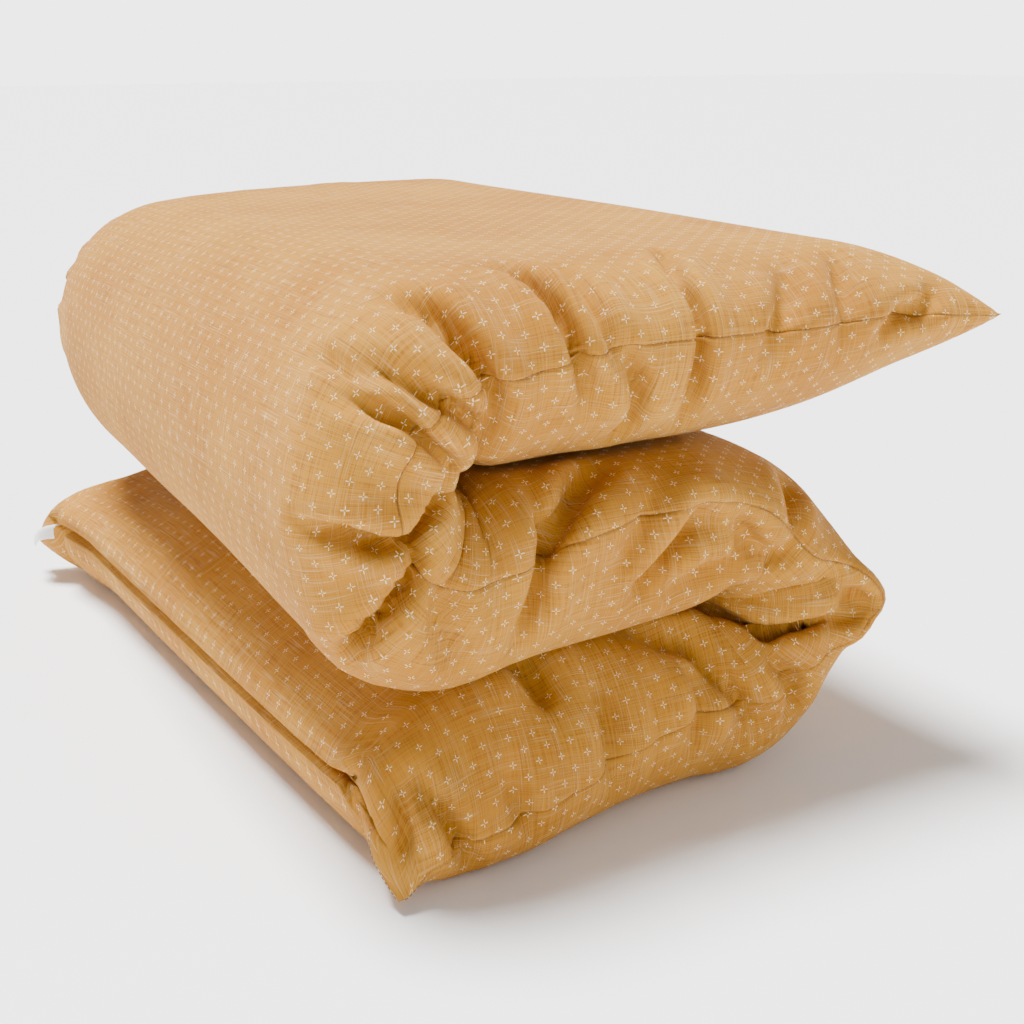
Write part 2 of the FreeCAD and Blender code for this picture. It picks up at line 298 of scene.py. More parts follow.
def base_panel(side):
    """One panel's grid of points before its wrinkles."""
    top = side * thickness(side)
    columns = ACROSS // 2
    y = np.empty((len(T), ACROSS + 1))
    rise = np.empty_like(y)
    for sign, seam in ((-1, FRONT_SEAM), (1, BACK_SEAM)):
        half, lift = half_width(), through(seam, T)
        crown = through(CROWN[side, sign], T)
        for i in range(len(T)):
            across, height = cross_section(half[i], crown[i], top[i], lift[i], columns)
            if sign < 0:
                y[i, :columns + 1], rise[i, :columns + 1] = -across[::-1], height[::-1]
            else:
                y[i, columns:], rise[i, columns:] = across, height
    back = smooth(y, -0.10, 0.28)
    front = 1 - smooth(y, -0.33, -0.02)
    inside = 1 - np.abs(np.linspace(-1, 1, ACROSS + 1)) ** 16
    if side == UPPER:
        back, front = back * inside, front * inside
        rise -= HEAD_BACK_DIP * back * smooth(T, left_at(0.6), T_HEAD + 0.08)[:, None]
        rise -= FOOT_BACK_DIP * smooth(y, 0.05, 0.30) * inside * bump(T, 0.05, 0.05)[:, None]
        rise -= ROLL_BACK_DIP * back * bump(T, left_at(0.5), 0.08)[:, None]
        rise += ROLL_FRONT_SWELL * front * bump(T, left_at(0.20), 0.036)[:, None]
    seam = np.where(y < 0, through(FRONT_SEAM, T)[:, None], through(BACK_SEAM, T)[:, None])
    line = np.where((T > T_END / 2)[:, None], end_line(y, *HEAD_LINE), end_line(y, *FOOT_LINE))
    opening = 1 - smooth(np.abs(y), ZIP_HALF, ZIP_HALF + LIP_END)
    t = T[:, None] - opening * LIP_RUN * (1 - smooth(T, LIP_RUN, 0.10))[:, None]
    t = np.maximum(t, 0)
    shared = edge_rise(t, 0.05) * edge_rise(T_END - t, 0.10)
    rise = (rise - seam) * end_rise(side, t) + seam * shared + line * (1 - shared)
    lip = opening * (1 - smooth(t, 0, LIP_BACK))
    rise += side * LIP_HEIGHT * lip
    bow = 1 - (y / HALF_WIDTH) ** 4
    foot = -FOOT_BOW * bow - FOOT_SLANT * (1 + y / HALF_WIDTH) - FOOT_BACK_REACH * smooth(y, 0.20, 0.345)
    if side == UPPER:
        foot = foot - LIP_OVERHANG * lip
    near_foot = (1 - smooth(T, 0, END_RUN))[:, None]
    near_head = smooth(T, T_END - END_RUN, T_END)[:, None]
    shift = foot * near_foot - HEAD_BOW * bow * near_head
    shift = shift + t - T[:, None]
    turned_in = opening * np.clip(1 - T / LIP_RUN, 0, 1)[:, None]
    shift = shift + (TAPE_X - FOOT_X - t - foot) * turned_in * (T < LIP_RUN)[:, None]
    x = X_MID[:, None] + shift * np.cos(ANGLE)[:, None] - rise * np.sin(ANGLE)[:, None]
    z = Z_MID[:, None] + rise * np.cos(ANGLE)[:, None]
    return np.stack([x, y, z], -1)


def run_across(grid):
    """Distance over the cloth of each point from the front seam."""
    step = np.linalg.norm(np.diff(grid, axis=1), axis=2)
    return np.concatenate([np.zeros((len(T), 1)), np.cumsum(step, 1)], 1)


# Cloth that goes round a fold, per radian of its turn: on the outer side and on the inner one. Then the
# least and most that the print is corrected for cloth that is gathered or drawn out.
OUTER_CLOTH = 0.106
INNER_CLOTH = 0.062
DRAWN_LIMITS = (0.6, 1.5)


def cloth_places(grid, side):
    """Where each point lies on the flat cloth, in metres, and how far the cloth is drawn out there."""
    reach = np.full(len(T), 1.0)
    for start, outer_side in ((T_RIGHT, LOWER), (T_LEFT, UPPER)):
        inside = in_fold(T, start, 0.004)
        reach += inside * ((OUTER_CLOTH / R if side == outer_side else INNER_CLOTH / R) - 1)
    along = np.concatenate([[0], np.cumsum(np.diff(T) * (reach[1:] + reach[:-1]) / 2)])
    across = run_across(grid)
    across = across - across[:, grid.shape[1] // 2][:, None]
    places = np.stack(np.broadcast_arrays(along[:, None], across), -1)
    length = np.gradient(grid, axis=0)
    drawn = np.linalg.norm(length, axis=2) / np.gradient(along)[:, None]
    stretch = np.stack([np.clip(drawn, *DRAWN_LIMITS), np.ones_like(drawn)], -1)
    return places, stretch


def weld(panels):
    """Both panels share the seam: its points move together, except along the zip opening."""
    upper, lower = panels[UPPER], panels[LOWER]
    for edge in (np.s_[:, 0], np.s_[:, -1], np.s_[-1, :]):
        shared = (upper[edge] + lower[edge]) / 2
        upper[edge] = shared
        lower[edge] = shared
    closed = np.abs(upper[0, :, 1]) > ZIP_HALF + CLOSED_AFTER
    shared = (upper[0, closed] + lower[0, closed]) / 2
    upper[0, closed] = shared
    lower[0, closed] = shared


FRONT, BACK = -1, 1

# Creases in millimetres, by the long side they are measured from: depth, width, and a path of (place along
# the mattress, distance from that side's seam: above 0 on the upper panel, below 0 on the lower one)
FRONT_CREASES = (
    (18, 6, ((722, -34), (700, -33), (678, -17), (664, 0), (655, 19), (652, 48), (648, 75))),
    (11, 5, ((733, 80), (734, 55), (733, 36), (731, 14))),
    (14, 5.5, ((726, 52), (728, 32), (730, 8), (728, -16), (730, -32))),
    (13, 6, ((738, 66), (740, 36), (742, 16), (748, 0), (756, -22), (764, -44))),
    (14, 7, ((757, 80), (762, 48), (767, 25), (770, 6), (776, -12), (781, -42))),
    (15, 6.5, ((812, 85), (818, 48), (823, 25), (828, 6), (832, -6), (838, -30))),
    (10, 6, ((842, 65), (845, 30), (849, 6), (853, -6), (854, -22))),
    (12, 6, ((862, 4), (870, -22), (874, -44), (868, -66))),
    (17, 6, ((922, 75), (912, 34), (909, 14), (911, 0), (911, -18), (916, -55))),
    (14, 7.5, ((520, -45), (546, -28), (562, -14), (574, 0), (580, 18), (586, 50))),
    (8, 7, ((568, -45), (574, -20), (577, -4))),
    (6, 8, ((500, -12), (507, 5), (516, 20), (522, 34))),
    (20, 7.5, ((508, 52), (492, 36), (480, 22), (466, 12), (452, 20))),
    (10, 8, ((500, 55), (462, 56), (440, 40), (432, 20))),
    (13, 5, ((688, 55), (684, 30), (680, 10), (680, -4), (690, -24))),
    (12, 5, ((640, 72), (648, 52), (656, 34), (662, 12))),
    (14, 6, ((300, 74), (316, 48), (331, 40), (340, 26), (342, 8))),
    (11, 10, ((190, 75), (228, 46), (242, 18), (254, 0), (262, -14))),
    (9, 12, ((104, 110), (112, 80), (116, 52))),
    (7, 9, ((150, 60), (153, 30), (152, 0), (158, -18))),
    (8, 8, ((208, 50), (218, 18), (220, 0), (214, -20))),
    (10, 5.5, ((26, 52), (33, 24), (41, 0), (50, -22))),
    (8, 6, ((16, 60), (11, 34), (10, 12))),
    (6, 7, ((78, 32), (82, 10), (94, -14))),
    (6, 8, ((990, 40), (975, 10), (966, 0), (960, -22))),
    (8, 6, ((1100, 18), (1082, 4), (1066, 0), (1048, -14))),
    (6, 8, ((1036, 50), (1024, 14), (1020, -10))),
    (9, 6, ((388, 4), (402, 20), (424, 24), (444, 6))),
    (10, 6, ((318, 4), (330, 18), (338, 10), (346, 18), (360, 10))),
    (7, 8, ((655, -8), (640, 6), (624, 30), (614, 58))),
    (8, 8, ((280, -30), (290, -8), (298, 14), (300, 40))),
    (6, 8, ((395, -50), (400, -20), (396, 0))),
)
BACK_CREASES = (
    (11, 6.5, ((715, 48), (712, 26), (708, 0), (700, -34))),
    (10, 6, ((752, 52), (748, 30), (744, 4), (748, -36))),
    (9, 6, ((668, 42), (676, 22), (682, 0), (700, -30))),
    (10, 7, ((806, 56), (796, 34), (794, 10), (788, -40))),
    (9, 6.5, ((858, 50), (866, 26), (862, 0), (870, -46))),
    (8, 7, ((946, 50), (940, 24), (944, 0), (938, -30))),
    (8, 7, ((1070, 40), (1058, 10), (1060, -20))),
    (13, 7, ((590, -50), (574, -20), (560, 0), (556, 40))),
    (10, 7, ((500, -40), (506, -10), (500, 20), (488, 50))),
    (14, 6, ((300, 70), (318, 46), (334, 34), (342, 8))),
    (12, 6, ((392, 60), (374, 40), (358, 20), (350, 4))),
    (10, 8, ((230, 60), (238, 24), (246, 0), (240, -24))),
    (8, 8, ((140, 60), (132, 26), (136, 0), (130, -20))),
    (8, 6, ((36, 50), (44, 22), (40, 0), (50, -16))),
)
MM = 1000
CREASES = [(edge, depth / MM, width / MM, [(t / MM, w / MM) for t, w in path])
           for edge, creases in ((FRONT, FRONT_CREASES), (BACK, BACK_CREASES))
           for depth, width, path in creases]


def run_along(line):
    """Distance along a line of points, at each point."""
    return np.concatenate([[0], np.cumsum(np.linalg.norm(np.diff(line, axis=0), axis=1))])


def smooth_path(path, count=48):
    """Even samples of a smooth curve through a path's points."""
    path = np.array(path)
    run = run_along(path)
    at = np.linspace(0, run[-1], count)
    return np.stack([through(list(zip(run, path[:, axis])), at) for axis in range(path.shape[1])], -1)


def seam_distance(grid, edge):
    """Distance over the cloth of each point from one long seam."""
    run = run_across(grid)
    return run if edge == FRONT else run[:, -1:] - run


def on_cloth(panels, distances, edge, t, w):
    """The point in space at a place along the mattress and a signed distance from a seam."""
    side = UPPER if w >= 0 else LOWER
    row = int(np.argmin(np.abs(T - t)))
    column = int(np.argmin(np.abs(distances[side, edge][row] - abs(w))))
    return panels[side][row, column]


def zip_zone(grid):
    """1 on the cloth round the zip, which keeps its shape, and 0 away from it."""
    return (1 - smooth(T, 0.012, 0.03))[:, None] * (1 - smooth(np.abs(grid[..., 1]), ZIP_HALF + 0.004, 0.30))


def crease(panels, share=1.0, deepest=1.0):
    """Press every crease into the panels, with the cloth bulging beside it."""
    distances = {(side, edge): seam_distance(panels[side], edge)
                 for side in SIDES for edge in (FRONT, BACK)}
    normals = outward(panels)
    moved = {side: np.zeros(panels[side].shape[:2]) for side in SIDES}
    for edge, depth, width, path in CREASES:
        line = smooth_path([on_cloth(panels, distances, edge, t, w) for t, w in path])
        near = [t for t, _ in path]
        rows = np.flatnonzero((T > min(near) - 0.03) & (T < max(near) + 0.03))
        for side in SIDES:
            points = panels[side][rows]
            offset = np.linalg.norm(points[:, :, None, :] - line, axis=3)
            closest = offset.argmin(2)
            away = offset.min(2) / width
            taper = np.sin(np.clip(closest / (len(line) - 1), 0.02, 0.98) * math.pi) ** 0.6
            valley = 0.55 * np.exp(-away ** 2) + 0.45 * np.exp(-away)
            shoulder = 0.42 * np.exp(-((away - 2.3) / 1.2) ** 2)
            moved[side][rows] += min(share * depth, deepest) * taper * (shoulder - valley)
    return {side: panels[side] + normals[side] * (moved[side] * (1 - zip_zone(panels[side])))[..., None]
            for side in SIDES}


def pull_together(points, rest, first, second, stiffness, push):
    """Move pairs of points to their rest distance: fully when too far, by push when too near."""
    a, b = points[first], points[second]
    gap = b - a
    distance = np.sqrt((gap * gap).sum(-1, keepdims=True)) + 1e-9
    error = (distance - rest) / distance
    error = np.where(error > 0, error, error * push)
    move = gap * (error * 0.5 * stiffness)
    points[first] = a + move
    points[second] = b - move


def pairs(rows, columns):
    """Neighbouring pairs of grid points in groups that share no point: slices, and kind of pair."""
    groups = []
    for parity in (0, 1):
        groups.append((np.s_[parity:rows - 1:2, :], np.s_[parity + 1:rows:2, :], "along"))
        groups.append((np.s_[:, parity:columns - 1:2], np.s_[:, parity + 1:columns:2], "across"))
        groups.append((np.s_[parity:rows - 1:2, :-1], np.s_[parity + 1:rows:2, 1:], "bias"))
        groups.append((np.s_[parity:rows - 1:2, 1:], np.s_[parity + 1:rows:2, :-1], "bias"))
    return groups


# Relaxation of the cloth: at each round the filling's lift and the pull to the shaped panel; the first
# roughness; and at the end the share that is taken out of the drift from the shaped panel
PRESSURE = 0.00030
FOUNDATION = 0.045
ROUGHNESS = 0.0035
DRIFT_TAKEN_OUT = 0.85


def slack(side):
    """Spare cloth as a share of its length: along the mattress and across it."""
    q = np.abs(np.linspace(-1, 1, ACROSS + 1))[None, :]
    near_seam = np.exp(-(1 - q) / 0.20) - 0.6 * np.exp(-(1 - q) / 0.012)
    fold = in_fold(T, T_RIGHT, 0.05) + in_fold(T, T_LEFT, 0.05)
    inner = in_fold(T, T_RIGHT if side == UPPER else T_LEFT, 0.06)
    along = 0.004 + near_seam * (0.075 + 0.05 * fold + 0.04 * inner)[:, None]
    ends = np.exp(-T / 0.05) + np.exp(-(T_END - T) / 0.06)
    across = 0.008 + 0.04 * ends[:, None] * (1 - 0.6 * q ** 4)
    return along, across


def box_blur(field, reach):
    """Mean of each point's neighbours within reach grid steps, both ways."""
    for axis in (0, 1):
        pad = [(0, 0)] * field.ndim
        pad[axis] = (reach + 1, reach)
        total = np.cumsum(np.pad(field, pad, mode="edge"), axis=axis, dtype=np.float64)
        span = 2 * reach + 1
        high = np.take(total, range(span, total.shape[axis]), axis)
        low = np.take(total, range(0, total.shape[axis] - span), axis)
        field = ((high - low) / span).astype(np.float32)
    return field


def settle(base, panels, rounds=260, seed=5):
    """Relax both panels as cloth: spare length near the seams gathers into folds under the filling."""
    random = np.random.default_rng(seed)
    rows, columns = panels[UPPER].shape[:2]
    target = {side: grid.astype(np.float32) for side, grid in panels.items()}
    points = {side: grid.copy() for side, grid in target.items()}
    rest, held = {}, {}
    for side, grid in base.items():
        along, across = slack(side)
        spare = {"along": along, "across": across, "bias": (along + across) / 2}
        normal = surface_normals(grid, side == LOWER).astype(np.float32)
        rest[side] = []
        for first, second, kind in pairs(rows, columns):
            span = np.linalg.norm(grid[second] - grid[first], axis=-1, keepdims=True)
            share = np.broadcast_to(spare[kind], (rows, columns))[first][..., None]
            rest[side].append((first, second, span * (1 + share), kind))
        coarse = random.normal(size=(rows // 5 + 2, columns // 5 + 2))
        rough = coarse.repeat(5, 0).repeat(5, 1)[:rows, :columns]
        for _ in range(3):
            rough = (rough + np.roll(rough, 1, 0) + np.roll(rough, 1, 1) + np.roll(rough, -1, 0)) / 4
        points[side] += normal * (ROUGHNESS * rough[..., None]).astype(np.float32)
        held[side] = hidden_share(side, grid).astype(np.float32)[..., None]
    for step in range(rounds):
        for side in SIDES:
            p = points[side]
            fresh = surface_normals(p, side == LOWER)
            p += fresh * (PRESSURE * (1 - held[side]))
            p += (target[side] - p) * (FOUNDATION + (0.5 - FOUNDATION) * held[side])
            if step % 4 == 0:
                p += box_blur(target[side] - p, 10) * 0.12
            for first, second, length, kind in rest[side]:
                pull_together(p, length, first, second, 0.9 if kind != "bias" else 0.35, 0.75)
            smooth_in_place(p, 0.045)
        keep_clear(points)
        weld(points)
    for side in SIDES:
        points[side] += box_blur(target[side] - points[side], 9) * DRIFT_TAKEN_OUT
        smooth_in_place(points[side], 0.10)
    keep_clear(points)
    weld(points)
    return {side: grid.astype(float) for side, grid in points.items()}


def smooth_in_place(points, share):
    """A little bending stiffness: each inner point moves towards its neighbours' middle."""
    middle = (points[:-2, 1:-1] + points[2:, 1:-1] + points[1:-1, :-2] + points[1:-1, 2:]) / 4
    points[1:-1, 1:-1] += (middle - points[1:-1, 1:-1]) * share


def hidden_share(side, grid):
    """1 where the cloth lines the inside of a fold or lies round the zip, 0 where it is free."""
    start = T_RIGHT if side == UPPER else T_LEFT
    q = np.abs(np.linspace(-1, 1, ACROSS + 1))[None, :]
    inner = in_fold(T, start, 0.012)[:, None] * (1 - smooth(q, 0.70, 0.86))
    return np.clip(inner + zip_zone(grid), 0, 1)


def keep_clear(points):
    """No layer passes into the next one or through the floor."""
    gap = 0.0002
    low, high = RIGHT[1], LEFT[1]
    foot = T <= T_RIGHT
    bottom = T <= right_at(0.5)
    middle = (T >= T_MIDDLE) & (T <= T_LEFT)
    head = T >= T_HEAD
    upper, lower = points[UPPER], points[LOWER]
    upper[foot, :, 2] = np.minimum(upper[foot, :, 2], low - gap)
    upper[middle, :, 2] = np.maximum(upper[middle, :, 2], low + gap)
    lower[middle, :, 2] = np.minimum(lower[middle, :, 2], high - gap)
    lower[head, :, 2] = np.maximum(lower[head, :, 2], high + gap)
    lower[bottom, :, 2] = np.maximum(lower[bottom, :, 2], gap)


# Depth of the pressed seam, and how far along the first step the close row beside it lies
SEAM_DEPTH = 0.0016
SEAM_LEDGE = 0.30


def with_ledges(values):
    """Values of a grid with one more column close beside each long seam."""
    first = values[:, 0] + (values[:, 1] - values[:, 0]) * SEAM_LEDGE
    last = values[:, -1] + (values[:, -2] - values[:, -1]) * SEAM_LEDGE
    return np.concatenate([values[:, :1], first[:, None], values[:, 1:-1], last[:, None], values[:, -1:]], 1)


def sink_seams(panels):
    """Press the long seams in: a close row of points beside each one, and the seam itself below them."""
    normals = outward(panels)
    result = {side: panels[side].copy() for side in SIDES}
    for edge in (0, -1):
        out = normals[UPPER][:, edge] + normals[LOWER][:, edge]
        out /= np.maximum(np.linalg.norm(out, axis=1, keepdims=True), 1e-9)
        away = smooth(T, 0.004, 0.03) * (1 - smooth(T, T_END - 0.05, T_END - 0.01))
        for side in SIDES:
            result[side][:, edge] -= out * SEAM_DEPTH * away[:, None]
    for side in SIDES:
        wide = with_ledges(panels[side])
        wide[:, 0], wide[:, -1] = result[side][:, 0], result[side][:, -1]
        result[side] = wide
    return result


STITCH_PITCH = 0.0032
STITCH_LENGTH = 0.0021
THREAD_RADIUS = 0.00024
STITCH_CLEARANCE = 0.004


def seam_runs(panels):
    """Each strip's number, and its stretches of the seam as points and outward directions."""
    upper, lower = panels[UPPER], panels[LOWER]
    normal = surface_normals(upper, False) + surface_normals(lower, True)
    normal /= np.maximum(np.linalg.norm(normal, axis=2, keepdims=True), 1e-9)
    for number in range(STRIPS):
        rows = slice(STRIP_ROWS[number], STRIP_ROWS[number + 1] + 1)
        runs = [(upper[rows, edge], normal[rows, edge]) for edge in (0, -1)]
        if number == 0:
            closed = np.abs(upper[0, :, 1]) > ZIP_HALF + CLOSED_AFTER + STITCH_CLEARANCE
            half = upper.shape[1] // 2
            runs.append((upper[0, :half][closed[:half]], normal[0, :half][closed[:half]]))
            runs.append((upper[0, half:][closed[half:]], normal[0, half:][closed[half:]]))
        if number == STRIPS - 1:
            runs.append((upper[-1], normal[-1]))
        yield number, runs


def rod(centre, along, out, length, radius, sides=6):
    """A short rounded rod: points and faces, tapering at both ends."""
    along = along / np.linalg.norm(along)
    aside = np.cross(along, out)
    aside /= np.linalg.norm(aside)
    out = np.cross(aside, along)
    points, faces = [], []
    for place, size in ((-0.5, 0.45), (-0.36, 1.0), (0.36, 1.0), (0.5, 0.45)):
        for k in range(sides):
            turn = 2 * math.pi * k / sides
            ring = aside * math.cos(turn) + out * math.sin(turn)
            points.append(centre + along * place * length + ring * radius * size)
    for ring in range(3):
        for k in range(sides):
            a, b = ring * sides + k, ring * sides + (k + 1) % sides
            faces.append((a, b, b + sides, a + sides))
    faces.append(tuple(range(sides - 1, -1, -1)))
    faces.append(tuple(range(3 * sides, 4 * sides)))
    return points, faces


def in_scene(name, data):
    """A new object in the scene."""
    made = bpy.data.objects.new(name, data)
    bpy.context.scene.collection.objects.link(made)
    return made


def joined(name, parts, material):
    """One object from many small parts, each a list of points and faces."""
    points, faces = [], []
    for part_points, part_faces in parts:
        faces += [tuple(i + len(points) for i in face) for face in part_faces]
        points += [tuple(point) for point in part_points]
    mesh = bpy.data.meshes.new(name)
    mesh.from_pydata(points, [], faces)
    mesh.shade_smooth()
    mesh.materials.append(material)
    return in_scene(name, mesh)


def stitches(panels, material):
    """Small dark stitches all along the perimeter seam, in a piece for each strip."""
    for number, runs in seam_runs(panels):
        parts = []
        for line, normal in runs:
            run = run_along(line)
            for at in np.arange(STITCH_PITCH / 2, run[-1], STITCH_PITCH):
                ends = [np.array([np.interp(at + d, run, line[:, k]) for k in range(3)])
                        for d in (-STITCH_LENGTH / 2, STITCH_LENGTH / 2)]
                out = np.array([np.interp(at, run, normal[:, k]) for k in range(3)])
                along = ends[1] - ends[0]
                if np.linalg.norm(along) < STITCH_LENGTH / 4:
                    continue
                centre = (ends[0] + ends[1]) / 2 + out * THREAD_RADIUS * 1.6
                parts.append(rod(centre, along, out, STITCH_LENGTH, THREAD_RADIUS))
        piece = joined("seam_stitches_%d" % (number + 1), parts, material)
        blend_over(piece, number)


TOOTH_PITCH = 0.0016
TOOTH_RADIUS = 0.00042
TOOTH_LEAN = 0.15
TOOTH_OVERLAP = 0.0004


def zip_teeth(material):
    """The zip's two coils, drawn as rows of short leaning rods that mesh along the middle."""
    for name, sign in (("upper", 1), ("lower", -1)):
        node = "zip_coil_" + name
        low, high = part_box(node)
        depth = (high.x - low.x) / 2
        reach = max(abs(low.z - HALF), abs(high.z - HALF))
        parts = []
        for place in np.arange(low.y + TOOTH_PITCH, high.y - TOOTH_PITCH, TOOTH_PITCH):
            y = place + (TOOTH_PITCH / 2 if sign > 0 else 0)
            for x, lean in ((low.x + depth * 0.55, TOOTH_LEAN), (high.x - depth * 0.5, -TOOTH_LEAN)):
                middle = np.array([x, y, HALF + sign * (reach / 2 - TOOTH_OVERLAP / 2)])
                along = np.array([0.0, lean, 1.0])
                parts.append(rod(middle, along, np.array([-1.0, 0, 0]), reach + TOOTH_OVERLAP, TOOTH_RADIUS))
        piece = joined("zip_teeth_" + name, parts, material)
        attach(piece, "foot_layer")
        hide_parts(node)


# The label hangs below the seam to its fold: points as (along x from the seam, up from it)
LABEL_DROP = 0.0110
LABEL_HANG = ((0.0015, 0.0003), (-0.0018, 0.0), (-0.004, -0.0016), (-0.0052, -0.0048), (-0.0054, -LABEL_DROP))
LABEL_HALF_GAP = 0.0005
LABEL_WAVE = 0.0008
LABEL_ROWS = 14


def side_label(panels, material):
    """A folded label held in the foot seam near the back corner, hanging down over the lower panel."""
    low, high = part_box("side_label")
    seam = panels[UPPER][0]
    fall = smooth_path(LABEL_HANG, 10)
    along = np.gradient(fall, axis=0)
    along /= np.linalg.norm(along, axis=1, keepdims=True)
    aside = np.stack([-along[:, 1], along[:, 0]], 1) * LABEL_HALF_GAP
    loop = np.concatenate([fall + aside, [fall[-1] + along[-1] * LABEL_HALF_GAP], (fall - aside)[::-1]])
    grid = []
    for y in np.linspace(low.y, high.y, LABEL_ROWS):
        x, z = (np.interp(y, seam[:, 1], seam[:, k]) for k in (0, 2))
        wave = LABEL_WAVE * math.sin((y - low.y) / (high.y - low.y) * math.pi * 1.5)
        grid.append([(x + out - wave * max(0.0, -up) / LABEL_DROP, y, z + up) for out, up in loop])
    grid = np.array(grid)
    rows, columns = grid.shape[:2]
    faces = [(i * columns + j, (i + 1) * columns + j, (i + 1) * columns + j + 1, i * columns + j + 1)
             for i in range(rows - 1) for j in range(columns - 1)]
    piece = joined("label_loop", [(grid.reshape(-1, 3), faces)], material)
    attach(piece, "foot_layer")
    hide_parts("side_label")


def surface_normals(grid, flip):
    """Unit normals over a whole panel, so that no strip's edge shows."""
    normal = np.cross(np.gradient(grid, axis=0), np.gradient(grid, axis=1))
    normal /= np.maximum(np.linalg.norm(normal, axis=2, keepdims=True), 1e-12)
    return -normal if flip else normal


def outward(panels):
    """Both panels' normals."""
    return {side: surface_normals(panels[side], side == LOWER) for side in SIDES}


def make_mesh(name, grid, flip, places, stretch, normals):
    """A mesh object from a grid of points, with its cloth coordinates and normals."""
    rows, columns = grid.shape[:2]
    index = np.arange(rows * columns).reshape(rows, columns)
    quads = np.stack([index[:-1, :-1], index[1:, :-1], index[1:, 1:], index[:-1, 1:]], -1).reshape(-1, 4)
    if flip:
        quads = quads[:, ::-1]
    mesh = bpy.data.meshes.new(name)
    mesh.from_pydata(grid.reshape(-1, 3).tolist(), [], quads.tolist())
    corners = quads.reshape(-1)
    for layer, values in (("cloth", places), ("stretch", stretch)):
        mesh.uv_layers.new(name=layer).data.foreach_set("uv", values.reshape(-1, 2)[corners].ravel())
    mesh.shade_smooth()
    mesh.normals_split_custom_set_from_vertices(normals.reshape(-1, 3).tolist())
    return in_scene(name, mesh)


# Half the distance between the two points where the cloth turns at a hinge line
TURN_REACH = 0.003


def hinge_turn(number):
    """Where the cloth turns as hinge line number opens: two points across its bisecting plane."""
    joint = next(j for j in frame["joints"] if j["child"] == STRIP_BODIES[number + 1])
    x, _, z = joint["pos_m"]
    in_right_fold = number < STRIPS // 2
    centre = RIGHT if in_right_fold else LEFT
    out = np.array([x - centre[0], z - centre[1]])
    out /= np.hypot(*out)
    along = np.array([-out[1], out[0]]) * (1 if in_right_fold else -1)
    ends = [np.array([x, z]) + sign * TURN_REACH * along for sign in (-1, 1)]
    return [(float(end[0]), 0.0, float(end[1])) for end in ends]


STRIP_ROWS = [0] + [JOINS[i] for i in (1, 2, 3, 5, 7, 8, 9)] + [len(T) - 1]


def blend_over(piece, number):
    """Bake the piece's place into its points; the turn at hinge line number is found but not used."""
    start, end = hinge_turn(number)
    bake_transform(piece)


def cover_strips(side, grid, unwrinkled, material):
    """One panel of the cover, in a strip for each hinge line that it crosses."""
    name = "cover_upper" if side == UPPER else "cover_lower"
    flip = side == LOWER
    places, stretch = (with_ledges(values) for values in cloth_places(unwrinkled, side))
    normals = surface_normals(grid, flip)
    for number in range(STRIPS):
        rows = slice(STRIP_ROWS[number], STRIP_ROWS[number + 1] + 1)
        piece = make_mesh("%s_strip_%d" % (name, number + 1), grid[rows], flip,
                          places[rows], stretch[rows], normals[rows])
        piece.data.materials.append(material)
        blend_over(piece, number)
        nodes = [STRIP_BODIES[number].replace("_layer", "")]
        if number == STRIPS - 1:
            nodes.append("head")
        layers = [name, "ticking", "batting"] if side == UPPER else [name]
        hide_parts(*[layer + "_" + node for layer in layers for node in nodes])


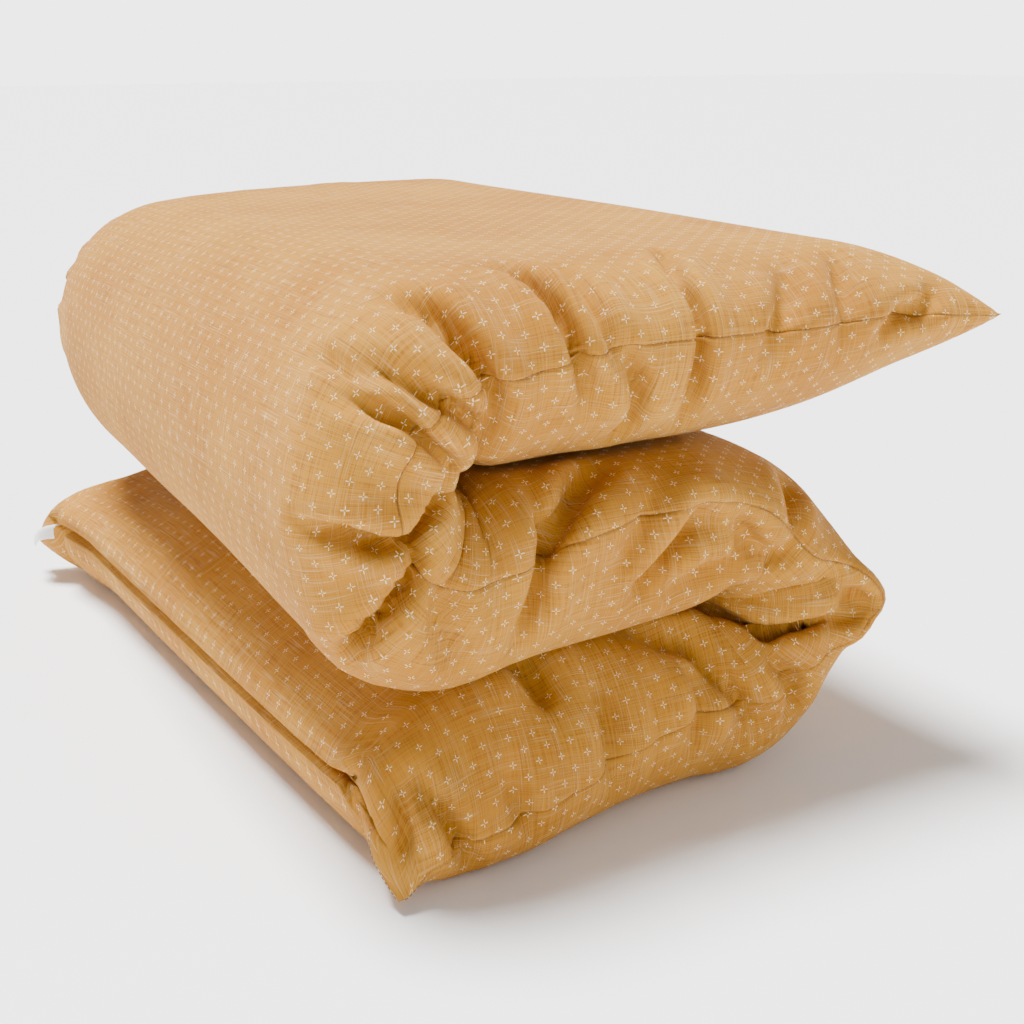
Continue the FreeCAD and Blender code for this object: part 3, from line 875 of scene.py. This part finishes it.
class Shader:
    """A material's node tree, with short ways to add to it."""

    def __init__(self, name):
        self.material = bpy.data.materials.new(name)
        self.material.use_nodes = True
        self.nodes = self.material.node_tree.nodes
        self.links = self.material.node_tree.links
        self.bsdf = self.nodes["Principled BSDF"]

    def put(self, socket, value):
        """A number, colour or another node's output goes into a socket."""
        if isinstance(value, bpy.types.NodeSocket):
            self.links.new(value, socket)
        else:
            socket.default_value = value

    def math(self, operation, a, b=0.0):
        """One step of arithmetic."""
        node = self.nodes.new("ShaderNodeMath")
        node.operation = operation
        self.put(node.inputs[0], a)
        self.put(node.inputs[1], b)
        return node.outputs[0]

    def times(self, a, b):
        """Two values multiplied."""
        return self.math("MULTIPLY", a, b)

    def uv(self, layer):
        """The two cloth coordinates of one layer."""
        node = self.nodes.new("ShaderNodeUVMap")
        node.uv_map = layer
        split = self.nodes.new("ShaderNodeSeparateXYZ")
        self.links.new(node.outputs[0], split.inputs[0])
        return split.outputs[0], split.outputs[1]

    def object_place(self):
        """A point's place in the piece's own frame."""
        return self.nodes.new("ShaderNodeTexCoord").outputs["Object"]

    def join(self, x, y, z=0.0):
        """A vector from its parts."""
        node = self.nodes.new("ShaderNodeCombineXYZ")
        for socket, value in zip(node.inputs, (x, y, z)):
            self.put(socket, value)
        return node.outputs[0]

    def noise(self, vector, scale, detail=2.0, roughness=0.5):
        """Smooth noise, from 0 to 1."""
        node = self.nodes.new("ShaderNodeTexNoise")
        self.links.new(vector, node.inputs["Vector"])
        node.inputs["Scale"].default_value = scale
        node.inputs["Detail"].default_value = detail
        node.inputs["Roughness"].default_value = roughness
        return node.outputs[0]

    def thread_noise(self, x, y, scales, seed, detail):
        """Noise with its own scale in each cloth direction."""
        stretched = [self.times(place, scale) for place, scale in zip((x, y), scales)]
        return self.noise(self.join(*stretched, seed), 1.0, detail)

    def ramp(self, value, low, high):
        """0 below low, 1 above high, smooth between."""
        node = self.nodes.new("ShaderNodeMapRange")
        node.interpolation_type = "SMOOTHSTEP"
        self.put(node.inputs["Value"], value)
        node.inputs["From Min"].default_value = low
        node.inputs["From Max"].default_value = high
        return node.outputs[0]

    def mix(self, share, a, b):
        """Colour a at 0, colour b at 1."""
        node = self.nodes.new("ShaderNodeMix")
        node.data_type = "RGBA"
        self.put(node.inputs["Factor"], share)
        self.put(node.inputs["A"], a)
        self.put(node.inputs["B"], b)
        return node.outputs["Result"]

    def bump(self, height, distance, strength=1.0):
        """Small relief that only the light sees."""
        node = self.nodes.new("ShaderNodeBump")
        node.inputs["Strength"].default_value = strength
        node.inputs["Distance"].default_value = distance
        self.links.new(height, node.inputs["Height"])
        self.links.new(node.outputs[0], self.bsdf.inputs["Normal"])

    def set(self, **values):
        """The shader's own values, by name."""
        for name, value in values.items():
            self.put(self.bsdf.inputs[name.replace("_", " ")], value)


# Cloth print and weave, in metres
PRINT_REPEAT = CUT_WIDTH / 44
DASH_NEAR = 0.0005
DASH_FAR = 0.0021
DASH_HALF_WIDTH = 0.0002
DASH_SOFTNESS = 0.00012
YARN_PITCH = 0.0006

# Noise detail per metre, along a thread and across it
YARN_NOISE = (22.0, 1400.0)
SLUB_NOISE = (34.0, 1500.0)
SLUB_GROUP_NOISE = (14.0, 110.0)

OCHRE = (0.390, 0.158, 0.010, 1)
OCHRE_LIGHT = (0.460, 0.210, 0.019, 1)
OCHRE_DARK = (0.250, 0.084, 0.004, 1)
PALE = (0.84, 0.66, 0.34, 1)


def cross_print(shader, u, v, draw_u, draw_v):
    """Small crosses of four dashes round an open centre, a half repeat apart, along the threads.

    The 64 whole repeats only keep the cloth's places above 0.
    """
    marks = 0.0
    for shift in (0.0, 0.5):
        offsets = []
        for place, drawn in ((u, draw_u), (v, draw_v)):
            cell = shader.math("DIVIDE", place, PRINT_REPEAT)
            cell = shader.math("FRACT", shader.math("ADD", cell, 64 + shift))
            cell = shader.times(shader.math("SUBTRACT", cell, 0.5), PRINT_REPEAT)
            offsets.append(shader.math("ABSOLUTE", shader.times(cell, drawn)))
        for along, aside in (offsets, offsets[::-1]):
            wide = shader.ramp(aside, DASH_HALF_WIDTH - DASH_SOFTNESS, DASH_HALF_WIDTH + DASH_SOFTNESS)
            begin = shader.ramp(along, DASH_NEAR - DASH_SOFTNESS, DASH_NEAR + DASH_SOFTNESS)
            past = shader.ramp(along, DASH_FAR - DASH_SOFTNESS, DASH_FAR + DASH_SOFTNESS)
            narrow = shader.math("SUBTRACT", 1.0, wide)
            end = shader.math("SUBTRACT", 1.0, past)
            dash = shader.times(narrow, shader.times(begin, end))
            marks = shader.math("MAXIMUM", marks, dash)
    return marks


def slubs(shader, along, aside, seed):
    """Thicker pale threads: long thin streaks that come and go."""
    streak = shader.thread_noise(along, aside, SLUB_NOISE, seed, 1.0)
    group = shader.thread_noise(along, aside, SLUB_GROUP_NOISE, seed + 7.0, 1.0)
    return shader.times(shader.ramp(streak, 0.52, 0.72), shader.ramp(group, 0.36, 0.62))


def cover_cloth():
    """Ochre cotton and linen weave with slubs and a small pale cross print."""
    shader = Shader("ochre_slub_cloth")
    u, v = shader.uv("cloth")
    draw_u, draw_v = shader.uv("stretch")
    flat = shader.join(u, v)
    cloud = shader.noise(flat, 9.0, 3.0)
    colour = shader.mix(shader.ramp(cloud, 0.30, 0.70), OCHRE, OCHRE_LIGHT)
    warp = shader.thread_noise(u, v, YARN_NOISE, 3.0, 2.0)
    weft = shader.thread_noise(u, v, YARN_NOISE[::-1], 5.0, 2.0)
    yarn = shader.math("ADD", warp, weft)
    dark = shader.times(shader.ramp(yarn, 1.06, 0.72), 0.80)
    colour = shader.mix(dark, colour, OCHRE_DARK)
    streaks = shader.math("MAXIMUM", slubs(shader, u, v, 11.0), slubs(shader, v, u, 23.0))
    colour = shader.mix(shader.times(streaks, 0.18), colour, PALE)
    marks = cross_print(shader, u, v, draw_u, draw_v)
    fade = shader.ramp(shader.noise(flat, 160.0, 2.0), 0.22, 0.50)
    marks = shader.times(marks, shader.math("ADD", 0.40, shader.times(fade, 0.6)))
    colour = shader.mix(marks, colour, PALE)
    turn = 2 * math.pi / YARN_PITCH
    warp_turn, weft_turn = shader.times(u, turn), shader.times(v, turn)
    over = shader.times(shader.math("SINE", warp_turn), shader.math("SINE", weft_turn))
    height = shader.math("ADD", shader.times(over, 0.5), shader.times(yarn, 1.3))
    height = shader.math("ADD", height, shader.times(streaks, 1.2))
    shader.bump(height, 0.00022, 0.6)
    rough = shader.math("SUBTRACT", 0.96, shader.times(streaks, 0.12))
    shader.set(Base_Color=colour, Roughness=rough, Sheen_Weight=0.06, Sheen_Roughness=0.45,
               Sheen_Tint=(1.0, 0.76, 0.40, 1), Specular_IOR_Level=0.25)
    return shader.material


# Two shades of each material
THREAD_SHADES = ((0.13, 0.052, 0.014, 1), (0.21, 0.090, 0.027, 1))
TAPE_SHADES = ((0.075, 0.030, 0.010, 1), (0.12, 0.052, 0.018, 1))
COIL_SHADES = ((0.085, 0.038, 0.014, 1), (0.13, 0.06, 0.024, 1))
LABEL_SHADES = ((0.72, 0.72, 0.70, 1), (0.84, 0.84, 0.82, 1))
BRASS = (0.42, 0.27, 0.12, 1)


def plain_weave(name, shades, threads, roughness, depth):
    """A narrow woven tape or twisted thread, with its threads per metre."""
    shader = Shader(name)
    place = shader.object_place()
    split = shader.nodes.new("ShaderNodeSeparateXYZ")
    shader.links.new(place, split.inputs[0])
    turn = 2 * math.pi * threads
    warp = shader.math("SINE", shader.times(split.outputs[1], turn))
    weft = shader.math("SINE", shader.times(split.outputs[2], turn))
    over = shader.times(warp, weft)
    cloud = shader.noise(place, threads / 3, 3.0)
    share = shader.ramp(shader.math("ADD", shader.times(over, 0.25), cloud), 0.2, 0.8)
    shader.bump(over, depth, 0.7)
    shader.set(Base_Color=shader.mix(share, *shades), Roughness=roughness,
               Sheen_Weight=0.25, Sheen_Roughness=0.5)
    return shader.material


def metal(name, colour):
    """Zip metal: slightly worn and unevenly polished."""
    shader = Shader(name)
    place = shader.object_place()
    wear = shader.noise(place, 900.0, 4.0, 0.6)
    shader.bump(wear, 0.00004, 0.5)
    worn = tuple(channel * 0.6 for channel in colour[:3]) + (1,)
    shader.set(Base_Color=shader.mix(shader.ramp(wear, 0.35, 0.7), worn, colour),
               Roughness=shader.ramp(wear, 0.9, 0.1), Metallic=0.9)
    return shader.material


def dress_zip():
    """Finishes for the zip nodes that keep their shape."""
    tape = plain_weave("zip_tape_weave", TAPE_SHADES, threads=1600, roughness=0.9, depth=0.0001)
    brass = metal("aged_brass", BRASS)
    for node in ("zip_tape_upper", "zip_tape_lower"):
        dress(node, tape)
    for node in ("zip_slider", "zip_pull", "zip_top_stop", "zip_bottom_stop"):
        dress(node, brass)


def dress(node, material):
    """Give a CAD node its finish."""
    piece = bpy.data.objects[node]
    piece.data.materials.clear()
    piece.data.materials.append(material)


def aim_lamp(light, place):
    """Put a light in the scene, turned towards the mattress."""
    lamp = in_scene(light.name, light)
    lamp.location = place
    lamp.rotation_euler = (Vector((0, 0, 0.1)) - lamp.location).to_track_quat("-Z", "Y").to_euler()


def pale_floor():
    """A large plain floor."""
    bpy.ops.mesh.primitive_plane_add(size=30, location=(0, 0, 0))
    floor = bpy.context.object
    floor.name = "floor"
    shader = Shader("pale_floor")
    shader.set(Base_Color=(0.97, 0.97, 0.97, 1), Roughness=0.8)
    floor.data.materials.append(shader.material)


# The surroundings' brightness: low down and overhead, and the heights that it fades between
WORLD_FADE = (0.02, 0.30)
WORLD_STRENGTHS = (4.0, 0.35)


def studio_world():
    """Soft light from all round, brighter near the horizon."""
    world = bpy.data.worlds.new("studio")
    bpy.context.scene.world = world
    world.use_nodes = True
    tree = world.node_tree
    split = tree.nodes.new("ShaderNodeSeparateXYZ")
    tree.links.new(tree.nodes.new("ShaderNodeTexCoord").outputs["Generated"], split.inputs[0])
    height = tree.nodes.new("ShaderNodeMapRange")
    height.interpolation_type = "SMOOTHSTEP"
    tree.links.new(split.outputs[2], height.inputs["Value"])
    for socket, value in zip(("From Min", "From Max", "To Min", "To Max"), WORLD_FADE + WORLD_STRENGTHS):
        height.inputs[socket].default_value = value
    tree.nodes["Background"].inputs["Color"].default_value = (1, 1, 1, 1)
    tree.links.new(height.outputs[0], tree.nodes["Background"].inputs["Strength"])


def studio_lights():
    """A broad sun from above and behind, and a weak wide fill from the front right."""
    sun = bpy.data.lights.new("key", "SUN")
    sun.energy = 11.5
    sun.angle = math.radians(20)
    aim_lamp(sun, (-0.7, 1.5, 5.5))
    fill = bpy.data.lights.new("fill", "AREA")
    fill.energy = 20
    fill.size = 2.0
    aim_lamp(fill, (2.6, -2.4, 1.9))


CAMERA_PLACE = (-0.511, -0.999, 0.467)
CAMERA_AIM = (0.027, -0.078, 0.128)
CAMERA_LENS = 52.5


def camera():
    """The camera at the photograph's viewing angle."""
    data = bpy.data.cameras.new("camera")
    cam = in_scene("camera", data)
    cam.location = CAMERA_PLACE
    cam.rotation_mode = "QUATERNION"
    cam.rotation_quaternion = (Vector(CAMERA_AIM) - Vector(CAMERA_PLACE)).to_track_quat("-Z", "Y")
    data.sensor_width = 36
    data.lens = CAMERA_LENS
    bpy.context.scene.camera = cam


camera()
pale_floor()
studio_world()
studio_lights()

# The shaped panels, with their creases pressed in before the relaxation and again, more gently, after it
base = {side: base_panel(side) for side in SIDES}
weld(base)
panels = crease(base)
weld(panels)
keep_clear(panels)
panels = settle(base, panels)
panels = crease(panels, share=0.80, deepest=0.0115)
keep_clear(panels)
weld(panels)
panels = sink_seams(panels)

cloth = cover_cloth()
for side, grid in panels.items():
    cover_strips(side, grid, base[side], cloth)
stitches(panels, plain_weave("brown_thread", THREAD_SHADES, threads=1200, roughness=0.8, depth=0.00005))
zip_teeth(plain_weave("zip_coil_nylon", COIL_SHADES, threads=700, roughness=0.45, depth=0.00003))
side_label(panels, plain_weave("label_satin", LABEL_SHADES, threads=2200, roughness=0.6, depth=0.00005))
dress_zip()
